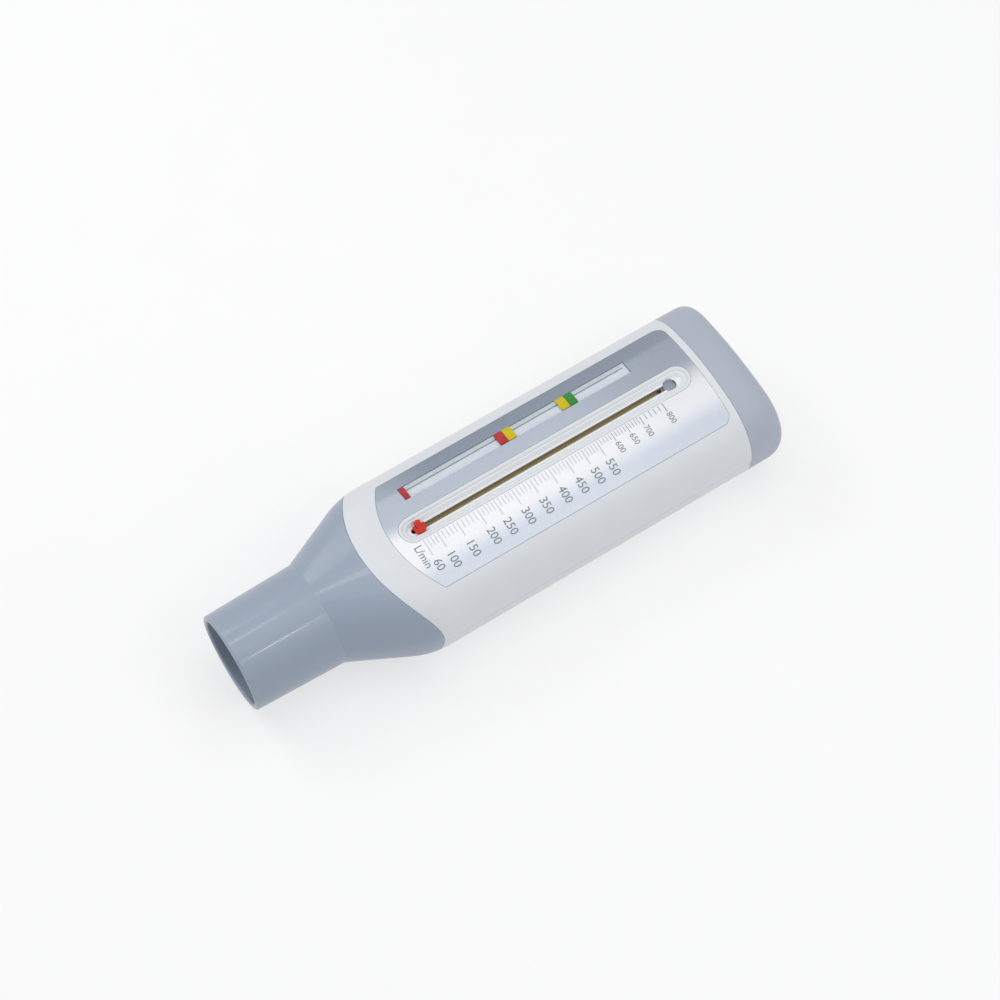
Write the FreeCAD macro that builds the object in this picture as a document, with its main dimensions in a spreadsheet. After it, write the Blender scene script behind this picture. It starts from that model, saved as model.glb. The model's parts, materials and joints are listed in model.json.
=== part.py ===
# Peak flow meter: a sprung piston in a slotted barrel, a pointer that keeps the best reading and zone markers.
# Frame in millimetres: +X runs from the mouthpiece's opening to the end cap, and +Z is up, out of the dial.
# Pieces are drawn with X = 0 at the opening and Z = 0 on the barrel's axis. One placement, the same for all,
# then puts the origin under the middle of the meter, on the flat that it rests on.
import FreeCAD, Part
import math
import os
import Sketcher
from FreeCAD import Placement, Rotation, Vector

SIZES = {
    # outer form of the body: an oval of eight arcs, rounder above its widest line than below
    "body_half_width": 26.5,
    "body_half_height": 17.5,
    "crown_radius": 53.0,
    "side_radius": 30.0,
    "corner_radius": 10.0,
    "shell_wall": 2.0,
    "foot_depth": 0.3,
    "parting_height": -1.5,
    "lip_height": 1.5,
    "joint_gap": 0.1,
    # mouthpiece: round tube, then a flare that grows into the body
    "mouth_radius": 15.0,
    "root_radius": 15.75,
    "mouth_bore": 13.3,
    "mouth_length": 28.3,
    "rim_rounding": 0.7,
    "flare_angle": 25.4,
    "flare_blend": 25.0,
    "duct_wall": 1.0,
    "seam_front": 44.3,
    "seam_radius": 39.5,
    "spigot_length": 3.0,
    "spigot_wall": 1.4,
    # end cap: a short stretch of the body's oval, then a dome that ends in a flat, vented face
    "cap_seam": 159.6,
    "cap_shoulder": 4.8,
    "dome_length": 8.7,
    "dome_cut": 0.97,
    "dome_plan_power": 5.5,
    "dome_side_power": 2.67,
    "cap_wall": 4.2,
    "cap_end_wall": 2.0,
    "vent_count": 7,
    "vent_pitch": 4.6,
    "vent_width": 2.2,
    "vent_height": 8.0,
    # barrel, with the slot that the pointer's stem runs in
    "barrel_bore": 11.2,
    "barrel_wall": 1.2,
    "barrel_front": 46.0,
    "barrel_back": 158.0,
    "seat_gap": 0.05,
    "seat_shoulder": 2.0,
    "duct_back": 54.0,
    "seal_section": 1.0,
    "seal_front": 49.0,
    "seal_groove": 1.2,
    "seal_squeeze": 0.04,
    # trough in the front cover: a ring, a sloped side, a narrow step, a sloped side again, then the floor
    "ring_front": 57.0,
    "ring_back": 154.4,
    "ring_half_width": 4.1,
    "ring_wall": 0.8,
    "step_depth": 0.6,
    "step_slope": 0.6,
    "step_width": 0.3,
    "floor_slope": 0.9,
    "floor_depth": 1.6,
    "floor_thickness": 1.4,
    "pointer_room": 2.1,
    "pad_margin": 1.5,
    "slot_width": 1.7,
    "slot_front": 60.5,
    "keyhole_place": 148.0,
    "keyhole_radius": 2.0,
    # scale plate, let into the front cover
    "plate_half_width": 18.65,
    "plate_thickness": 0.4,
    "plate_gap": 0.1,
    "plate_front": 53.9,
    "plate_arc": 31.0,
    "plate_back": 157.3,
    "plate_corner": 3.0,
    # zone track: a pale insert with a slit, tilted with the curve of the cover
    "track_front": 64.4,
    "track_back": 140.9,
    "track_side": 11.65,
    "track_width": 4.7,
    "track_sink": 0.4,
    "track_flange": 0.6,
    "track_depth": 2.1,
    "track_step": 0.6,
    "track_ledge": 0.15,
    "slit_side": 0.75,
    "slit_width": 0.45,
    # zone markers and the end stop: thin at both sides, with a ridge that has a steep side towards the scale
    "stop_length": 1.7,
    "low_marker_place": 96.4,
    "high_marker_place": 117.3,
    "marker_length": 5.4,
    "marker_edge": 0.15,
    "marker_foot": 0.2,
    "marker_ridge": 0.5,
    "ridge_side": 0.55,
    "ridge_slope": 0.7,
    "marker_gap": 0.1,
    "stem_gap": 0.12,
    "stem_length": 3.0,
    "hook_half_width": 1.1,
    "hook_thickness": 0.5,
    "hook_gap": 0.15,
    # pointer, its clip and the rail beside its stem
    "pointer_place": 63.1,
    "pointer_half_length": 1.85,
    "pointer_near": 2.1,
    "pointer_far": 0.75,
    "pointer_undercut": 0.75,
    "pointer_base": 1.05,
    "pointer_bevel": 0.25,
    "fin_height": 0.95,
    "fin_half_width": 0.9,
    "fin_near": 1.0,
    "fin_ridge": 1.2,
    "fin_tip": 1.9,
    "pointer_float": 0.15,
    "stem_near": 0.55,
    "stem_far": 0.05,
    "stem_half_length": 1.1,
    "stem_reach": 1.2,
    "rail_width": 2.45,
    "rail_web": 1.25,
    "rail_ledge": 0.6,
    "rail_gap": 0.25,
    "rail_start": 1.5,
    "rail_end_gap": 1.5,
    "clip_thickness": 0.5,
    "clip_reach": 1.85,
    "clip_prong": 0.95,
    "waist_half_length": 0.75,
    "plug_sink": 0.9,
    "plug_gap": 0.1,
    "plug_flange": 0.7,
    "plug_flange_height": 1.6,
    # piston, rod, spring and the pieces that carry them
    "piston_gap": 0.3,
    "rim_length": 4.0,
    "rim_wall": 1.0,
    "web_thickness": 1.3,
    "hub_radius": 2.6,
    "hub_length": 5.0,
    "push_gap": 0.1,
    "bush_wall": 0.5,
    "rod_radius": 1.5,
    "rod_chamfer": 0.3,
    "rod_gap": 0.05,
    "holder_hub_radius": 3.2,
    "holder_thickness": 2.5,
    "holder_window_inner": 4.4,
    "holder_window_outer": 9.8,
    "holder_window_inner_half": 1.3,
    "holder_window_outer_half": 2.1,
    "holder_window_count": 6,
    "stop_gap": 0.2,
    "rear_hub_length": 5.0,
    "bumper_thickness": 2.0,
    "bumper_radius": 5.0,
    "vent_hole_radius": 1.9,
    "vent_ring_radius": 7.6,
    "vent_hole_count": 8,
    "washer_radius": 3.0,
    "washer_thickness": 0.6,
    "rod_tail": 0.9,
    "spring_radius": 3.6,
    "wire_radius": 0.2,
    "spring_turns": 20,
    "saddle_thickness": 1.6,
    "saddle_count": 3,
    "saddle_first": 72.0,
    "saddle_pitch": 34.0,
}

# Places that follow from the sizes: fits, seats and shared planes
PLACES = {
    "cap_end": "Sizes.cap_seam + Sizes.cap_shoulder + Sizes.dome_cut * Sizes.dome_length",
    "half_length": "(Sizes.cap_seam + Sizes.cap_shoulder + Sizes.dome_cut * Sizes.dome_length) / 2",
    "barrel_outside": "Sizes.barrel_bore + Sizes.barrel_wall",
    "floor_bottom": "Places.barrel_outside + Sizes.pointer_room",
    "floor_top": "Places.floor_bottom + Sizes.floor_thickness",
    "front_height": "Places.floor_top + Sizes.floor_depth",
    "body_rise": "Places.front_height - Sizes.body_half_height",
    "rear_depth": "Sizes.body_half_height - Places.body_rise",
    "axis_height": "Places.rear_depth - Sizes.foot_depth",
    "crown_middle": "Places.front_height - Sizes.crown_radius",
    "shoulder_radius": "(Sizes.crown_radius * Sizes.body_half_height * 2 - Sizes.body_half_width ^ 2"
                       " - Sizes.body_half_height ^ 2) / (2 * (Sizes.crown_radius - Sizes.body_half_width))",
    "seat_bore": "Places.barrel_outside + Sizes.seat_gap",
    "seat_front": "Sizes.barrel_front - Sizes.seat_shoulder",
    "seal_floor": "Places.barrel_outside + Sizes.seal_section",
    "duct_outside": "Places.seal_floor + Sizes.duct_wall",
    "seal_wire": "Sizes.seal_section / 2 - Sizes.seal_squeeze / 2",
    "seal_back": "Sizes.seal_front + Sizes.seal_groove",
    "seal_middle": "Sizes.seal_front + Sizes.seal_groove / 2",
    "ring_front_middle": "Sizes.ring_front + Sizes.ring_half_width",
    "ring_back_middle": "Sizes.ring_back - Sizes.ring_half_width",
    "step_top_half": "Sizes.ring_half_width - Sizes.ring_wall",
    "step_foot_half": "Places.step_top_half - Sizes.step_slope",
    "floor_top_half": "Places.step_foot_half - Sizes.step_width",
    "floor_foot_half": "Places.floor_top_half - Sizes.floor_slope",
    "step_height": "Places.front_height - Sizes.step_depth",
    "pad_half_width": "Sizes.ring_half_width + Sizes.pad_margin",
    "slot_half_width": "Sizes.slot_width / 2",
    "slot_front_middle": "Sizes.slot_front + Places.slot_half_width",
    "cap_spigot_front": "Sizes.cap_seam - Sizes.spigot_length",
    "rear_holder_back": "Sizes.barrel_back + Sizes.holder_thickness",
    "rear_hub_front": "Sizes.barrel_back - Sizes.rear_hub_length",
    "bumper_front": "Sizes.barrel_back - Sizes.rear_hub_length - Sizes.bumper_thickness",
    "rod_hole": "Sizes.rod_radius + Sizes.rod_gap",
    "rod_front": "Sizes.barrel_front - Sizes.washer_thickness - Sizes.rod_tail",
    "rod_back": "Sizes.barrel_back + Sizes.holder_thickness + Sizes.washer_thickness + Sizes.rod_tail",
    "front_washer_front": "Sizes.barrel_front - Sizes.washer_thickness",
    "piston_front": "Sizes.pointer_place - Sizes.stem_half_length - Sizes.push_gap",
    "rim_back": "Places.piston_front - Sizes.rim_length",
    "piston_radius": "Sizes.barrel_bore - Sizes.piston_gap",
    "rim_inside": "Places.piston_radius - Sizes.rim_wall",
    "web_front": "Places.rim_back + Sizes.web_thickness",
    "hub_front": "Places.rim_back + Sizes.hub_length",
    "front_hub_back": "Places.rim_back - Sizes.stop_gap",
    "bush_radius": "Places.rod_hole + Sizes.bush_wall",
    "stem_bottom": "Places.piston_radius - Sizes.stem_reach",
    "head_bottom": "Places.floor_top + Sizes.pointer_float",
    "head_top": "Places.head_bottom + Sizes.pointer_base",
    "fin_top": "Places.head_top + Sizes.fin_height",
    "head_round_side": "Sizes.pointer_half_length - Sizes.pointer_near",
    "clip_top": "Places.floor_bottom - Sizes.pointer_float",
    "clip_bottom": "Places.clip_top - Sizes.clip_thickness",
    "rail_near": "Sizes.stem_far + Sizes.rail_gap",
    "rail_far": "Places.rail_near + Sizes.rail_width",
    "rail_inner": "Places.rail_far - Sizes.rail_web",
    "rail_bottom": "Places.barrel_outside + Sizes.rail_gap",
    "rail_ledge_top": "Places.rail_bottom + Sizes.rail_ledge",
    "rail_front": "Sizes.slot_front + Sizes.rail_start",
    "rail_back": "Sizes.keyhole_place - Sizes.keyhole_radius - Sizes.rail_end_gap",
    "plug_top": "Places.floor_top - Sizes.plug_sink",
    "plug_radius": "Sizes.keyhole_radius - Sizes.plug_gap",
    "plug_flange_radius": "Sizes.keyhole_radius + Sizes.plug_flange",
    "plug_bottom": "Places.floor_bottom - Sizes.plug_flange_height",
    "track_half_width": "Sizes.track_width / 2",
    "track_top": "-Sizes.track_sink",
    "track_shelf": "-Sizes.track_sink - Sizes.track_flange",
    "track_web_half": "Sizes.track_width / 2 - Sizes.track_step",
    "slit_near": "Sizes.slit_side - Sizes.slit_width / 2",
    "slit_far": "Sizes.slit_side + Sizes.slit_width / 2",
    "marker_bottom": "Places.track_top + Sizes.track_ledge + Sizes.marker_gap",
    "marker_half_width": "Places.track_half_width - Sizes.marker_gap",
    "hook_top": "-Sizes.track_depth - Sizes.hook_gap",
    "hook_bottom": "-Sizes.track_depth - Sizes.hook_gap - Sizes.hook_thickness",
}

# The inlet's rim is rounded on both sides, by less than half of its wall on each
RIM_SHARE = 0.45
# Where the sections of the two rounded lofts lie, as shares of their length
BLEND_STATIONS = (0.0, 0.3, 0.6, 0.85, 1.0)
DOME_STATIONS = (0.0, 0.3, 0.52, 0.7, 0.84, 0.93, 1.0)
# Cutting forms go past the surface that they cut: by a little, or right across the meter
PAST = 1.0
LONG = "2 * Sizes.cap_seam"
WIDE = "2 * Sizes.body_half_width"
TALL = "2 * Sizes.body_half_height"

doc = FreeCAD.newDocument("PeakFlowMeter")


def fill_sheet(name, rows):
    """Write one sheet with a name and a value in each row, and the name as the value's alias."""
    sheet = doc.addObject("Spreadsheet::Sheet", name)
    for row, (alias, entry) in enumerate(rows.items(), 1):
        sheet.set(f"A{row}", alias)
        sheet.set(f"B{row}", str(entry))
        sheet.setAlias(f"B{row}", alias)
    return sheet


sizes = fill_sheet("Sizes", SIZES)
doc.recompute()
places = fill_sheet("Places", {alias: "=" + rule.replace("Places.", "") for alias, rule in PLACES.items()})
doc.recompute()


def size(alias):
    """The number behind an alias of either sheet."""
    return float((sizes if alias in SIZES else places).get(alias))


def bind(thing, **rules):
    """Tie properties to the sheets; two underscores in a keyword stand for a dot."""
    for name, rule in rules.items():
        thing.setExpression(name.replace("__", "."), rule)
    return thing


# Outer form: ovals of eight arcs, kept as (centre, radius, start, end) about the barrel's axis


def corner_middle():
    """Centre of a corner arc that touches the side's arc and one like the crown's, in the upper right quarter."""
    top = Vector(0, size("body_half_height") - size("crown_radius"))
    right = Vector(size("body_half_width") - size("side_radius"), 0)
    reach_top = size("crown_radius") - size("corner_radius")
    reach_right = size("side_radius") - size("corner_radius")
    line = right - top
    along = (reach_top**2 - reach_right**2 + line.Length**2) / (2 * line.Length)
    off = math.sqrt(reach_top**2 - along**2)
    unit = line / line.Length
    return top + unit * along + Vector(unit.y, -unit.x) * off


def oval_arcs(half_width, half_height, shoulder, middle, corner):
    """Arcs of an oval, anticlockwise from the right side, each tangent to the next.

    Above, an arc of the shoulder's radius runs from the widest line up to the crown. Below, corner arcs lie
    between flatter sides and the base; the middle is the centre of such an arc, mirrored to the upper right.
    """
    upper = Vector(half_width - shoulder, 0)
    crown = (upper.x**2 + half_height**2 - shoulder**2) / (2 * (half_height - shoulder))
    base = (middle.x**2 + (half_height - middle.y)**2 - corner**2) / (2 * (half_height - corner - middle.y))
    side = (middle.y**2 + (half_width - middle.x)**2 - corner**2) / (2 * (half_width - corner - middle.x))
    top = Vector(0, half_height - crown)
    bottom = Vector(0, base - half_height)
    right = Vector(half_width - side, 0)
    lean_crown = math.atan2(-top.y, upper.x)
    lean_base = math.atan2(middle.y + bottom.y, middle.x)
    lean_side = math.atan2(middle.y, middle.x - right.x)
    turn = math.pi
    arcs = [
        (upper, shoulder, 0, lean_crown),
        (top, crown, lean_crown, turn - lean_crown),
        (-upper, shoulder, turn - lean_crown, turn),
        (-right, side, turn, turn + lean_side),
        (-middle, corner, turn + lean_side, turn + lean_base),
        (bottom, base, turn + lean_base, 2 * turn - lean_base),
        (Vector(middle.x, -middle.y), corner, 2 * turn - lean_base, 2 * turn - lean_side),
        (right, side, 2 * turn - lean_side, 2 * turn),
    ]
    rise = Vector(0, size("body_rise"))
    return [(centre + rise, radius, start, end) for centre, radius, start, end in arcs]


def oval_wire(arcs, place, offset=0.0):
    """Closed wire of the arcs across X at a place, moved inwards by the offset."""
    edges = []
    for centre, radius, start, end in arcs:
        reach = radius - offset
        on_arc = [Vector(place, centre.x + reach * math.cos(angle), centre.y + reach * math.sin(angle))
                  for angle in (start, (start + end) / 2, end)]
        edges.append(Part.Arc(*on_arc).toShape())
    return Part.Wire(edges)


def body_arcs():
    """The body's own oval."""
    return oval_arcs(size("body_half_width"), size("body_half_height"), size("shoulder_radius"),
                     corner_middle(), size("corner_radius"))


def flare_arcs(share):
    """Oval part of the way from the mouthpiece's circle (share 0) to the body (share 1)."""
    root = size("root_radius")
    return [(centre * share, root + (radius - root) * share, start, end)
            for centre, radius, start, end in body_arcs()]


def flare_stations():
    """Places along the flare and how far each has grown: first those of its straight cone, then of the blend."""
    angle = math.radians(size("flare_angle"))
    blend = size("flare_blend")
    growth = size("body_half_width") - size("root_radius")
    straight = growth - blend * (1 - math.cos(angle))
    turn_in = size("mouth_length") + straight / math.tan(angle)
    rounded = []
    for part in BLEND_STATIONS:
        rest = angle * (1 - part)
        place = turn_in + blend * (math.sin(angle) - math.sin(rest))
        rounded.append((place, 1 - blend * (1 - math.cos(rest)) / growth))
    return [(size("mouth_length"), 0.0), rounded[0]], rounded


def hull(offset, back):
    """Solid of the flare and the body as far back as asked, moved inwards by the offset."""
    cone, rounded = flare_stations()
    lofts = []
    for stations, ruled in ((cone, True), (rounded, False)):
        sections = [oval_wire(flare_arcs(share), place, offset) for place, share in stations]
        lofts.append(Part.makeLoft(sections, True, ruled))
    front = rounded[-1][0]
    straight = Part.Face(oval_wire(body_arcs(), front, offset)).extrude(Vector(back - front, 0, 0))
    return lofts[0].fuse([lofts[1], straight])


def dome():
    """Solid of the end cap: the body's oval, then ovals that shrink faster in height than in width.

    Each oval keeps the shape of the body's rounded sides at the scale of its height.
    """
    start = size("cap_seam") + size("cap_shoulder")
    middle = corner_middle()
    sections = []
    for part in DOME_STATIONS:
        reach = size("dome_cut") * part
        across = (1 - reach ** size("dome_plan_power")) ** (1 / size("dome_plan_power"))
        up = (1 - reach ** size("dome_side_power")) ** (1 / size("dome_side_power"))
        half = size("body_half_width") * across
        inset = (size("body_half_width") - middle.x) * up
        arcs = oval_arcs(half, size("body_half_height") * up, size("shoulder_radius") * up,
                         Vector(half - inset, middle.y * up), size("corner_radius") * up)
        sections.append(oval_wire(arcs, start + reach * size("dome_length")))
    face = Part.Face(oval_wire(body_arcs(), size("cap_seam")))
    return face.extrude(Vector(size("cap_shoulder"), 0, 0)).fuse(Part.makeLoft(sections, True, False))


def form(name, shape):
    """Keep a shape in the document."""
    feature = doc.addObject("Part::Feature", name)
    feature.Shape = shape
    return feature


def oval_block(name, offset, start, end):
    """Stretch of the body's oval, moved inwards by the offset."""
    return form(name, Part.Face(oval_wire(body_arcs(), start, offset)).extrude(Vector(end - start, 0, 0)))


def box(name, low, high):
    """Box between two corners given as rules."""
    block = doc.addObject("Part::Box", name)
    for axis, length, start, end in zip("xyz", ("Length", "Width", "Height"), low, high):
        block.setExpression("Placement.Base." + axis, start)
        block.setExpression(length, f"({end}) - ({start})")
    return block


def rod(name, radius, start, end):
    """Cylinder on the barrel's axis between two places along X."""
    bar = doc.addObject("Part::Cylinder", name)
    bar.Placement = Placement(Vector(), Rotation(Vector(0, 1, 0), 90))
    return bind(bar, Radius=radius, Height=f"({end}) - ({start})", Placement__Base__x=start)


def post(name, radius, place, start, end):
    """Upright cylinder over a place on the axis."""
    bar = doc.addObject("Part::Cylinder", name)
    return bind(bar, Radius=radius, Height=f"({end}) - ({start})", Placement__Base__x=place,
                Placement__Base__z=start)


def cut(name, base, tool):
    """Base without the tool."""
    result = doc.addObject("Part::Cut", name)
    result.Base = base
    result.Tool = tool
    return result


def fuse(name, *pieces):
    """All pieces as one."""
    result = doc.addObject("Part::MultiFuse", name)
    result.Shapes = list(pieces)
    return result


def common(name, *pieces):
    """What all pieces share."""
    result = doc.addObject("Part::MultiCommon", name)
    result.Shapes = list(pieces)
    return result


def obround(name, half_width, low, high, front, back):
    """Upright block with round ends between two places along X."""
    middle = box(name + "_middle", (front, f"-({half_width})", low), (back, half_width, high))
    ends = [post(f"{name}_end_{i}", half_width, place, low, high) for i, place in enumerate((front, back))]
    return fuse(name, middle, *ends)


def ring_block(name, half_width, low, high):
    """Obround about the trough's own middle line."""
    return obround(name, half_width, low, high, "Places.ring_front_middle", "Places.ring_back_middle")


def sloped_trough(name, foot_half, top_half, low, high):
    """Hollow along the trough's middle line; its sides lean out between two heights and go on as far again."""
    front, back = size("ring_front_middle"), size("ring_back_middle")
    sections = []
    for share in (0, 2):
        half = foot_half + share * (top_half - foot_half)
        height = low + share * (high - low)
        plan = ((front, -half), (back, -half), (back, half), (front, half))
        corners = [Vector(x, y, height) for x, y in plan]
        sections.append(Part.Wire([
            Part.makeLine(corners[0], corners[1]),
            Part.Arc(corners[1], Vector(back + half, 0, height), corners[2]).toShape(),
            Part.makeLine(corners[2], corners[3]),
            Part.Arc(corners[3], Vector(front - half, 0, height), corners[0]).toShape(),
        ]))
    return form(name, Part.makeLoft(sections, True, True))


# Bodies drawn from sketches


def new_body(name):
    return doc.addObject("PartDesign::Body", name)


def sketch_on(body, role, offset=None):
    """Sketch on one of the body's own planes, moved along the plane's normal by a rule."""
    plane = next(f for f in body.Origin.OriginFeatures if f.Role == role)
    sketch = body.newObject("Sketcher::SketchObject", body.Name + "_sketch")
    sketch.AttachmentSupport = [(plane, "")]
    sketch.MapMode = "FlatFace"
    if offset:
        sketch.setExpression("AttachmentOffset.Base.z", offset)
    return sketch


def pin_point(sketch, geometry, point, corner, guess):
    """Hold one point at a corner given as a pair of rules."""
    for kind, rule, start in zip(("DistanceX", "DistanceY"), corner, (guess.x, guess.y)):
        index = sketch.addConstraint(Sketcher.Constraint(kind, -1, 1, geometry, point, start))
        sketch.setExpression(f"Constraints[{index}]", rule)


def outline(sketch, *corners):
    """Closed outline of straight sides; each corner is a pair of rules that pull it off a starting circle."""
    count = len(corners)
    turns = [2 * math.pi * i / count for i in range(count)]
    ring = [Vector(math.cos(turn), math.sin(turn)) for turn in turns]
    first = sketch.GeometryCount
    for i in range(count):
        sketch.addGeometry(Part.LineSegment(ring[i], ring[(i + 1) % count]))
    for i in range(count):
        sketch.addConstraint(Sketcher.Constraint("Coincident", first + i, 2, first + (i + 1) % count, 1))
    for i in range(count):
        pin_point(sketch, first + i, 1, corners[i], ring[i])


def rectangle(sketch, low, high):
    """Outline between two corners given as rules."""
    outline(sketch, low, (high[0], low[1]), high, (low[0], high[1]))


def disc(sketch, radius, centre=("0", "0")):
    """Circle with a radius and a centre given as rules."""
    index = sketch.addGeometry(Part.Circle(Vector(), Vector(0, 0, 1), 1))
    pin_point(sketch, index, 3, centre, Vector())
    constraint = sketch.addConstraint(Sketcher.Constraint("Radius", index, 1))
    sketch.setExpression(f"Constraints[{constraint}]", radius)


def feature(body, kind, sketch, **rules):
    """PartDesign feature that uses a sketch, with its sizes bound."""
    made = body.newObject("PartDesign::" + kind, body.Name + "_" + kind.lower())
    made.Profile = sketch
    sketch.Visibility = False
    return bind(made, **rules)


def revolve(body, *corners):
    """Turn an outline of (X, radius) corners about the barrel's axis."""
    sketch = sketch_on(body, "XZ_Plane")
    outline(sketch, *corners)
    turned = feature(body, "Revolution", sketch)
    turned.ReferenceAxis = (sketch, ["H_Axis"])
    turned.Angle = 360
    return turned


def pattern(body, original, axis, count):
    """Repeat a feature round the barrel's axis."""
    around = body.newObject("PartDesign::PolarPattern", body.Name + "_pattern")
    around.Originals = [original]
    around.Axis = axis
    around.Angle = 360
    bind(around, Occurrences=count)
    body.Tip = around
    return around


# Shared cutting forms


def seam_form(name, extra):
    """Everything behind the mouthpiece's seam, an arc in plan that bows towards the mouthpiece."""
    reach = f"Sizes.seam_radius + ({extra})"
    middle = "Sizes.seam_front + Sizes.seam_radius"
    arc = post(name + "_arc", reach, middle, "-" + TALL, TALL)
    rest = box(name + "_rest", (middle, f"-({reach})", "-" + TALL), (LONG, reach, TALL))
    return fuse(name, arc, rest)


def half_space(name, low, high):
    """Slab across the whole meter between two heights."""
    return box(name, ("-" + LONG, "-" + WIDE, low), (LONG, WIDE, high))


def track_place():
    """Where the zone track's own axes lie: on the cover's surface, tilted with it."""
    lean = math.asin(size("track_side") / size("crown_radius"))
    base = Vector(0, size("track_side"), size("crown_middle") + size("crown_radius") * math.cos(lean))
    return Placement(base, Rotation(Vector(1, 0, 0), -math.degrees(lean)))


def track_block(name, front, back, half_width, low, high):
    """Block in the zone track's own axes."""
    block = Part.makeBox(back - front, 2 * half_width, high - low, Vector(front, -half_width, low))
    made = form(name, block)
    made.Placement = track_place()
    return made


def plate_outline(name, shrink, low, high):
    """Upright block with the scale plate's outline: an arc in front, round corners behind."""
    half = size("plate_half_width") - shrink
    arc = size("plate_arc") - shrink
    middle = size("plate_front") + size("plate_arc")
    back = size("plate_back") - shrink
    corner = size("plate_corner") - shrink
    front = middle - math.sqrt(arc**2 - half**2)
    turn = back - corner
    inset = half - corner
    on_round = corner * math.sqrt(0.5)
    near_round = Vector(turn + on_round, -inset - on_round)
    far_round = Vector(turn + on_round, inset + on_round)
    edges = [
        Part.Arc(Vector(front, half), Vector(middle - arc, 0), Vector(front, -half)).toShape(),
        Part.makeLine(Vector(front, -half), Vector(turn, -half)),
        Part.Arc(Vector(turn, -half), near_round, Vector(back, -inset)).toShape(),
        Part.makeLine(Vector(back, -inset), Vector(back, inset)),
        Part.Arc(Vector(back, inset), far_round, Vector(turn, half)).toShape(),
        Part.makeLine(Vector(turn, half), Vector(front, half)),
    ]
    block = Part.Face(Part.Wire(edges)).extrude(Vector(0, 0, high - low))
    block.translate(Vector(0, 0, low))
    return form(name, block)


wall = size("shell_wall")
gap = size("joint_gap")
cap_seam = size("cap_seam")
tall = 2 * size("body_half_height")

outer_form = form("outer_form", hull(0, cap_seam))
inner_form = form("inner_form", hull(wall, 2 * cap_seam))
rebate_form = form("rebate_form", hull(wall / 2, 2 * cap_seam))
lip_form = form("lip_form", hull(wall / 2 + gap, 2 * cap_seam))
under_foot = half_space("under_foot", "-" + TALL, "-Places.axis_height")
behind_seam = seam_form("behind_seam", "0")


def make_mouthpiece():
    """Inlet tube and flare as one thin moulding, with a duct inside that seats the barrel and its seal."""
    tube = doc.addObject("Part::Cone", "inlet_tube")
    tube.Placement = Placement(Vector(), Rotation(Vector(0, 1, 0), 90))
    bind(tube, Radius1="Sizes.mouth_radius", Radius2="Sizes.root_radius", Height="Sizes.mouth_length")
    bored = cut("inlet_bored", tube, rod("inlet_bore_tool", "Sizes.mouth_bore", "0", "Sizes.mouth_length"))
    doc.recompute()
    rim = doc.addObject("Part::Fillet", "inlet_rim")
    rim.Base = bored
    rounding = min(size("rim_rounding"), RIM_SHARE * (size("mouth_radius") - size("mouth_bore")))
    mouth = [i for i, edge in enumerate(bored.Shape.Edges, 1) if edge.BoundBox.XMax < size("rim_rounding")]
    rim.Edges = [(i, rounding, rounding) for i in mouth]
    flare = cut("flare_front", outer_form, seam_form("seam_tool", "Sizes.joint_gap"))
    hollow = cut("flare_hollow", inner_form, rod("duct_keep", "Places.duct_outside", "0", "Sizes.duct_back"))
    shell = cut("flare_shell", flare, hollow)
    duct = rod("duct_tube", "Places.duct_outside", "Sizes.mouth_length", "Sizes.duct_back")
    solid = fuse("mouthpiece_solid", rim, shell, duct)
    bores = fuse(
        "mouthpiece_bores",
        rod("mouth_bore_tool", "Sizes.mouth_bore", f"-{PAST}", "Places.seat_front"),
        rod("shoulder_bore_tool", "Sizes.barrel_bore", "0", "Sizes.duct_back"),
        rod("seat_tool", "Places.seat_bore", "Sizes.barrel_front", "2 * Sizes.duct_back"),
        rod("seal_tool", "Places.seal_floor", "Sizes.seal_front", "Places.seal_back"),
    )
    open_form = cut("mouthpiece_open", solid, bores)
    return cut("mouthpiece", open_form, under_foot)


def make_front_cover():
    """Front shell with its trough, slot, keyhole, plate recess and zone track seat."""
    shell = common("front_block", outer_form, behind_seam)
    lower = half_space("below_parting", "-" + TALL, "Sizes.parting_height")
    lip_slab = half_space("lip_room_slab", "-" + TALL,
                          "Sizes.parting_height + Sizes.lip_height + Sizes.joint_gap")
    lip_room = common("lip_room", rebate_form, lip_slab)
    pad = ring_block("pad", "Places.pad_half_width", "Places.floor_bottom", "Places.front_height")
    hollow = cut("front_hollow", inner_form, pad)
    skin = form("plate_skin", hull(size("plate_thickness"), 2 * cap_seam))
    recess_plan = plate_outline("recess_plan", -size("plate_gap"), 0, tall)
    ring_keep = ring_block("ring_keep", "Sizes.ring_half_width", "0", TALL)
    recess = cut("plate_recess", recess_plan, fuse("recess_keep", skin, ring_keep))
    step = sloped_trough("trough_step", size("step_foot_half"), size("step_top_half"), size("step_height"),
                         size("front_height"))
    floor = sloped_trough("trough_floor", size("floor_foot_half"), size("floor_top_half"), size("floor_top"),
                          size("step_height"))
    below_floor = f"Places.floor_bottom - {PAST}"
    slot = obround("slot_tool", "Places.slot_half_width", below_floor, "Places.front_height",
                   "Places.slot_front_middle", "Sizes.keyhole_place")
    keyhole = post("keyhole_tool", "Sizes.keyhole_radius", "Sizes.keyhole_place", below_floor,
                   "Places.front_height")
    seat = track_block("track_seat", size("track_front") - gap, size("track_back") + gap,
                       size("track_half_width") + gap, size("track_shelf"), tall)
    well = track_block("track_well", size("track_front") + size("track_step") - gap,
                       size("track_back") - size("track_step") + gap,
                       size("track_web_half") + gap, -2 * wall, tall)
    tools = fuse("front_tools", lower, lip_room, hollow, recess, step, floor, slot, keyhole, seat, well)
    return cut("front_cover", shell, tools)


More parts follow.
